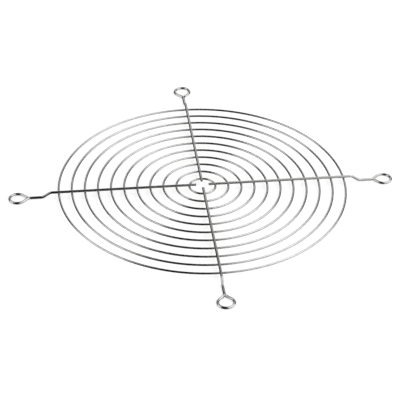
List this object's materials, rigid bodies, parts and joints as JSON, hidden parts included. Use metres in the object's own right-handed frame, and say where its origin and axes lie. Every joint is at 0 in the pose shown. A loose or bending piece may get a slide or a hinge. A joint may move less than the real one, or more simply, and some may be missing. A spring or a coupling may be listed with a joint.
{
  "type": "wire fan guard",
  "caption": "Round wire finger guard for an axial fan: concentric rings welded under radial spokes that step down to open screw eyes.",
  "frame": {"origin": "centre of the guard, on the fan's face that the undersides of the eyes sit on", "axes": "+Z away from the fan, +X along the right spoke, +Y along the back spoke"},
  "size_m": [0.2968, 0.2968, 0.0059],
  "materials": {
    "ring_wire": "bright plated drawn steel wire",
    "spoke_wire": "bright plated drawn steel wire",
    "weld": "plated weld metal, slightly duller and rougher than the wire"
  },
  "bodies": {
    "root": {"ring_01": "ring_wire", "ring_02": "ring_wire", "ring_03": "ring_wire", "ring_04": "ring_wire", "ring_05": "ring_wire", "ring_06": "ring_wire", "ring_07": "ring_wire", "ring_08": "ring_wire", "ring_09": "ring_wire", "ring_10": "ring_wire", "ring_11": "ring_wire", "spoke_right": "spoke_wire", "spoke_back": "spoke_wire", "spoke_left": "spoke_wire", "spoke_front": "spoke_wire"}
  },
  "joints": []
}
